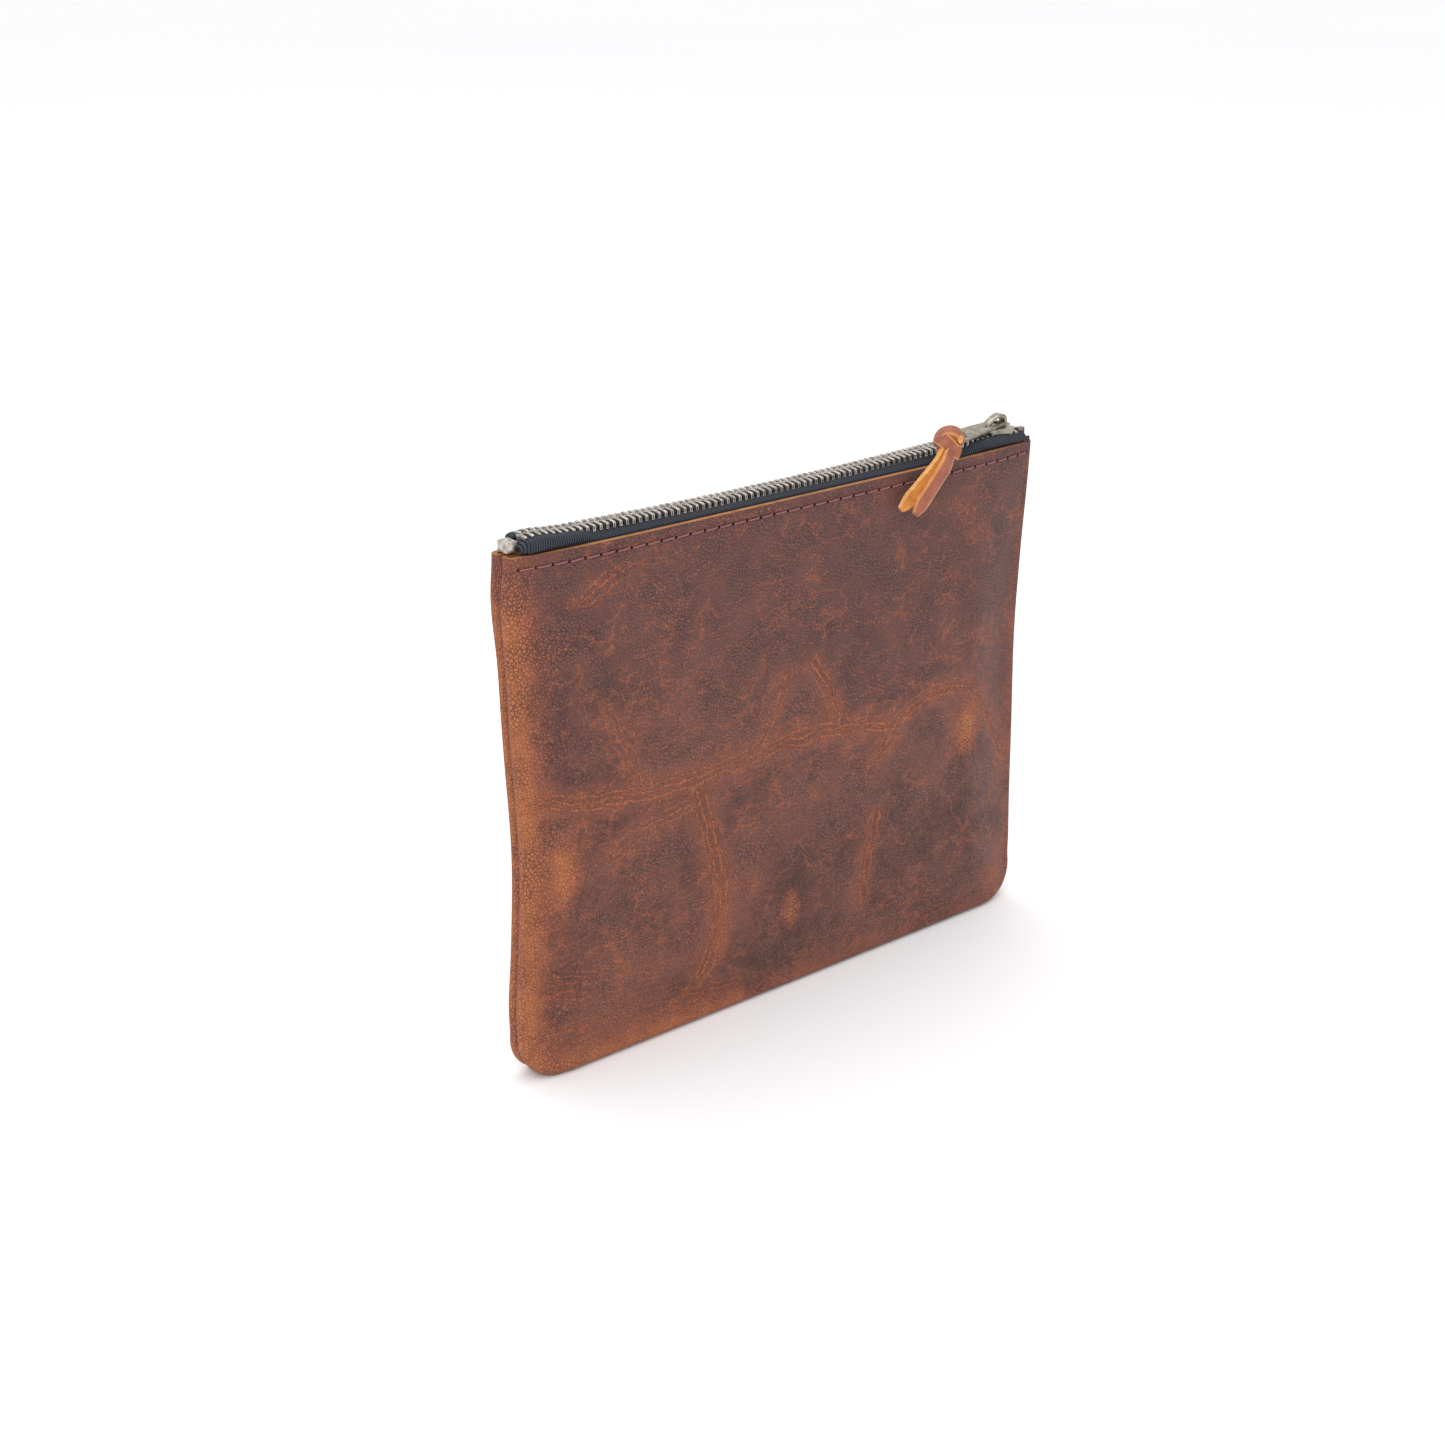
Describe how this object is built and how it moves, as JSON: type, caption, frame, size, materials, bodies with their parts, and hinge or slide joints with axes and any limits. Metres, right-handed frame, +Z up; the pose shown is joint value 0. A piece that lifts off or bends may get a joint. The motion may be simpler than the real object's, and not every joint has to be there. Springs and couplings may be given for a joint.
{
  "type": "zippered leather pouch",
  "caption": "Flat upright leather pouch of turned front and back panels, closed along its top by a metal zip with a knotted leather pull.",
  "frame": {"origin": "on the ground, midway along the bottom seam between the two panels", "axes": "+X along the zip towards its closed end, -Y out of the front panel, +Z up towards the zip"},
  "size_m": [0.218, 0.0245, 0.1835],
  "materials": {
    "panel_leather": "dark reddish brown waxed leather with a fine pebble grain, lighter tan along rolls and creases",
    "strip_leather": "orange tan leather, smooth grain side and pale fibrous flesh side",
    "zip_tape": "black woven tape with fine cross ribs",
    "zip_teeth": "antique nickel, darker between the teeth",
    "slider_metal": "antique nickel with a warm grey cast, semi-gloss",
    "thread": "burgundy pink twisted sewing thread"
  },
  "bodies": {
    "pouch": {"front_panel": "panel_leather", "front_tape": "zip_tape", "front_teeth": "zip_teeth", "bottom_stop": "zip_teeth", "front_top_stop": "zip_teeth", "front_needle_thread": "thread", "front_bobbin_thread": "thread", "seam_thread": "thread"},
    "back_half": {"back_panel": "panel_leather", "back_tape": "zip_tape", "back_teeth": "zip_teeth", "back_top_stop": "zip_teeth", "back_needle_thread": "thread", "back_bobbin_thread": "thread"},
    "slider": {"slider_body": "slider_metal"},
    "pull_tab": {"pull_tab": "slider_metal"},
    "leather_pull": {"leather_pull": "strip_leather"}
  },
  "joints": [
    {"name": "slider_travel", "type": "slide", "parent": "pouch", "child": "slider", "axis": [-1, 0, 0], "range_m": [0, 0.19], "deforming": ["front_teeth", "back_teeth"]},
    {"name": "mouth_opening", "type": "hinge", "parent": "pouch", "child": "back_half", "pos_m": [0, 0.008, 0], "axis": [-1, 0, 0], "range_deg": [0, 12]},
    {"name": "tab_flip", "type": "hinge", "parent": "slider", "child": "pull_tab", "pos_m": [0.09687, 0, 0.1789], "axis": [0, 1, 0], "range_deg": [0, 150]},
    {"name": "pull_swing", "type": "hinge", "parent": "pull_tab", "child": "leather_pull", "pos_m": [0.07387, 0, 0.1789], "axis": [0, 1, 0], "range_deg": [0, 120]}
  ],
  "couplings": [
    {"joint": "mouth_opening", "follows": "slider_travel", "rad_per_m": 1.1}
  ]
}
